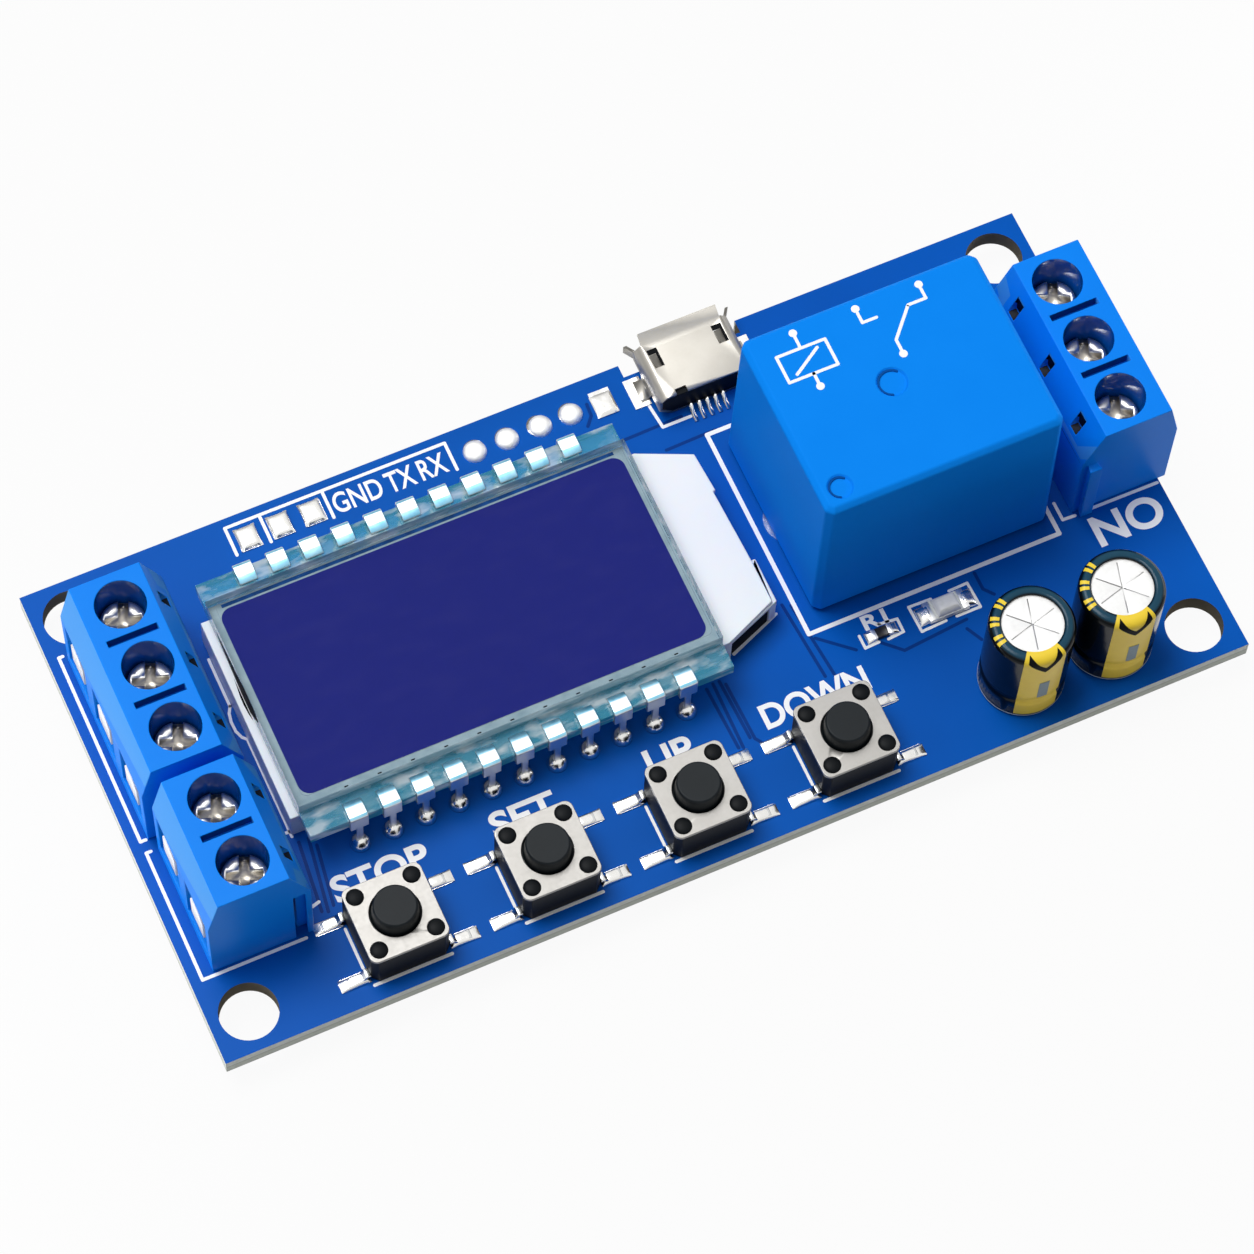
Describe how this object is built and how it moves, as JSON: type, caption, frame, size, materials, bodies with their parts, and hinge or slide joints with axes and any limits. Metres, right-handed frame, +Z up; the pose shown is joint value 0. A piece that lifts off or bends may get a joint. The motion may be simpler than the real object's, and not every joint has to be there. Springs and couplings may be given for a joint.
{
  "type": "timer relay module",
  "caption": "Circuit board module with a small display, push buttons, a boxed relay, screw terminal blocks, capacitors and a power socket.",
  "frame": {"origin": "centre of the four mounting holes, on the underside of the circuit board", "axes": "+X along the board towards the relay's output terminals, +Y from the button edge to the socket edge, +Z up out of the component side"},
  "size_m": [0.0806, 0.0393, 0.0192],
  "materials": {
    "solder_mask": "blue solder mask on glass-fibre board",
    "tin": "bright tin solder",
    "display_glass": "clear float glass with a faint green edge",
    "display_film": "dark blue polarising film",
    "rear_film": "grey diffusing film",
    "tinned_steel": "tinned sheet metal",
    "backlight_acrylic": "milky white light guide",
    "shell_steel": "nickel plated sheet steel",
    "black_plastic": "black moulded nylon",
    "terminal_plastic": "blue moulded nylon",
    "screw_steel": "zinc plated steel",
    "clamp_brass": "tin plated brass",
    "plunger_plastic": "dark grey moulded nylon",
    "relay_plastic": "blue moulded case",
    "bobbin_plastic": "white moulded bobbin",
    "copper_wire": "enamelled copper wire",
    "soft_iron": "nickel plated soft iron",
    "contact_bronze": "phosphor bronze leaf",
    "can_aluminium": "drawn aluminium can",
    "sleeve_film": "black shrink sleeve",
    "bung_rubber": "black rubber bung",
    "light_body": "white laminate with tinned ends",
    "light_resin": "clear resin lens",
    "resistor_ceramic": "dark glazed chip with tinned ends",
    "chip_epoxy": "black moulding compound"
  },
  "bodies": {
    "board": {"circuit_board": "solder_mask", "tinned_pads": "tin", "solder_joints": "tin", "lcd_rear_glass": "display_glass", "lcd_front_glass": "display_glass", "lcd_front_polariser": "display_film", "lcd_rear_polariser": "rear_film", "lcd_pins_front": "tinned_steel", "lcd_pins_back": "tinned_steel", "backlight_guide": "backlight_acrylic", "socket_shell": "shell_steel", "socket_insulator": "black_plastic", "socket_contacts": "tinned_steel", "trigger_housing": "terminal_plastic", "power_housing": "terminal_plastic", "output_housing": "terminal_plastic", "terminal_pins": "tinned_steel", "switch_bases": "black_plastic", "switch_covers": "shell_steel", "switch_domes": "shell_steel", "switch_legs": "tinned_steel", "relay_case": "relay_plastic", "relay_base": "black_plastic", "relay_bobbin": "bobbin_plastic", "relay_winding": "copper_wire", "relay_core": "soft_iron", "relay_yoke": "soft_iron", "relay_terminals": "tinned_steel", "capacitor_cans": "can_aluminium", "capacitor_sleeves": "sleeve_film", "capacitor_bungs": "bung_rubber", "capacitor_leads": "tinned_steel", "light_base": "light_body", "light_lens": "light_resin", "chip_resistor": "resistor_ceramic", "chip_bodies": "chip_epoxy", "chip_legs": "tinned_steel", "chip_passives": "resistor_ceramic"},
    "trigger_screw_1": {"trigger_screw_1": "screw_steel"},
    "trigger_clamp_1": {"trigger_clamp_1": "clamp_brass"},
    "trigger_screw_2": {"trigger_screw_2": "screw_steel"},
    "trigger_clamp_2": {"trigger_clamp_2": "clamp_brass"},
    "trigger_screw_3": {"trigger_screw_3": "screw_steel"},
    "trigger_clamp_3": {"trigger_clamp_3": "clamp_brass"},
    "power_screw_1": {"power_screw_1": "screw_steel"},
    "power_clamp_1": {"power_clamp_1": "clamp_brass"},
    "power_screw_2": {"power_screw_2": "screw_steel"},
    "power_clamp_2": {"power_clamp_2": "clamp_brass"},
    "output_screw_1": {"output_screw_1": "screw_steel"},
    "output_clamp_1": {"output_clamp_1": "clamp_brass"},
    "output_screw_2": {"output_screw_2": "screw_steel"},
    "output_clamp_2": {"output_clamp_2": "clamp_brass"},
    "output_screw_3": {"output_screw_3": "screw_steel"},
    "output_clamp_3": {"output_clamp_3": "clamp_brass"},
    "stop_plunger": {"stop_plunger": "plunger_plastic"},
    "set_plunger": {"set_plunger": "plunger_plastic"},
    "up_plunger": {"up_plunger": "plunger_plastic"},
    "down_plunger": {"down_plunger": "plunger_plastic"},
    "relay_armature": {"relay_armature": "soft_iron", "relay_contact_spring": "contact_bronze"}
  },
  "joints": [
    {"name": "trigger_screw_1_turn", "type": "hinge", "parent": "board", "child": "trigger_screw_1", "pos_m": [-0.0348, 0.011, 0.0086], "axis": [0, 0, 1], "range_deg": [0, 1440]},
    {"name": "trigger_clamp_1_slide", "type": "slide", "parent": "board", "child": "trigger_clamp_1", "axis": [0, 0, -1], "range_m": [0, 0.0018]},
    {"name": "trigger_screw_2_turn", "type": "hinge", "parent": "board", "child": "trigger_screw_2", "pos_m": [-0.0348, 0.00592, 0.0086], "axis": [0, 0, 1], "range_deg": [0, 1440]},
    {"name": "trigger_clamp_2_slide", "type": "slide", "parent": "board", "child": "trigger_clamp_2", "axis": [0, 0, -1], "range_m": [0, 0.0018]},
    {"name": "trigger_screw_3_turn", "type": "hinge", "parent": "board", "child": "trigger_screw_3", "pos_m": [-0.0348, 0.00084, 0.0086], "axis": [0, 0, 1], "range_deg": [0, 1440]},
    {"name": "trigger_clamp_3_slide", "type": "slide", "parent": "board", "child": "trigger_clamp_3", "axis": [0, 0, -1], "range_m": [0, 0.0018]},
    {"name": "power_screw_1_turn", "type": "hinge", "parent": "board", "child": "power_screw_1", "pos_m": [-0.0344, -0.00518, 0.0086], "axis": [0, 0, 1], "range_deg": [0, 1440]},
    {"name": "power_clamp_1_slide", "type": "slide", "parent": "board", "child": "power_clamp_1", "axis": [0, 0, -1], "range_m": [0, 0.0018]},
    {"name": "power_screw_2_turn", "type": "hinge", "parent": "board", "child": "power_screw_2", "pos_m": [-0.0344, -0.01026, 0.0086], "axis": [0, 0, 1], "range_deg": [0, 1440]},
    {"name": "power_clamp_2_slide", "type": "slide", "parent": "board", "child": "power_clamp_2", "axis": [0, 0, -1], "range_m": [0, 0.0018]},
    {"name": "output_screw_1_turn", "type": "hinge", "parent": "board", "child": "output_screw_1", "pos_m": [0.0368, 0.00785, 0.0086], "axis": [0, 0, 1], "range_deg": [0, 1440]},
    {"name": "output_clamp_1_slide", "type": "slide", "parent": "board", "child": "output_clamp_1", "axis": [0, 0, -1], "range_m": [0, 0.0018]},
    {"name": "output_screw_2_turn", "type": "hinge", "parent": "board", "child": "output_screw_2", "pos_m": [0.0368, 0.00278, 0.0086], "axis": [0, 0, 1], "range_deg": [0, 1440]},
    {"name": "output_clamp_2_slide", "type": "slide", "parent": "board", "child": "output_clamp_2", "axis": [0, 0, -1], "range_m": [0, 0.0018]},
    {"name": "output_screw_3_turn", "type": "hinge", "parent": "board", "child": "output_screw_3", "pos_m": [0.0368, -0.00231, 0.0086], "axis": [0, 0, 1], "range_deg": [0, 1440]},
    {"name": "output_clamp_3_slide", "type": "slide", "parent": "board", "child": "output_clamp_3", "axis": [0, 0, -1], "range_m": [0, 0.0018]},
    {"name": "stop_press", "type": "slide", "parent": "board", "child": "stop_plunger", "axis": [0, 0, -1], "range_m": [0, 0.00025], "stiffness_N_per_m": 1000, "springref_m": -0.001},
    {"name": "set_press", "type": "slide", "parent": "board", "child": "set_plunger", "axis": [0, 0, -1], "range_m": [0, 0.00025], "stiffness_N_per_m": 1000, "springref_m": -0.001},
    {"name": "up_press", "type": "slide", "parent": "board", "child": "up_plunger", "axis": [0, 0, -1], "range_m": [0, 0.00025], "stiffness_N_per_m": 1000, "springref_m": -0.001},
    {"name": "down_press", "type": "slide", "parent": "board", "child": "down_plunger", "axis": [0, 0, -1], "range_m": [0, 0.00025], "stiffness_N_per_m": 1000, "springref_m": -0.001},
    {"name": "armature_swing", "type": "hinge", "parent": "board", "child": "relay_armature", "pos_m": [0.0143, 0.00298, 0.0138], "axis": [0, 1, 0], "range_deg": [0, 2], "stiffness_Nm_per_rad": 0.02, "springref_deg": -5.73}
  ],
  "couplings": [
    {"joint": "trigger_screw_1_turn", "follows": "trigger_clamp_1_slide", "rad_per_m": 13963},
    {"joint": "trigger_screw_2_turn", "follows": "trigger_clamp_2_slide", "rad_per_m": 13963},
    {"joint": "trigger_screw_3_turn", "follows": "trigger_clamp_3_slide", "rad_per_m": 13963},
    {"joint": "power_screw_1_turn", "follows": "power_clamp_1_slide", "rad_per_m": 13963},
    {"joint": "power_screw_2_turn", "follows": "power_clamp_2_slide", "rad_per_m": 13963},
    {"joint": "output_screw_1_turn", "follows": "output_clamp_1_slide", "rad_per_m": 13963},
    {"joint": "output_screw_2_turn", "follows": "output_clamp_2_slide", "rad_per_m": 13963},
    {"joint": "output_screw_3_turn", "follows": "output_clamp_3_slide", "rad_per_m": 13963}
  ]
}
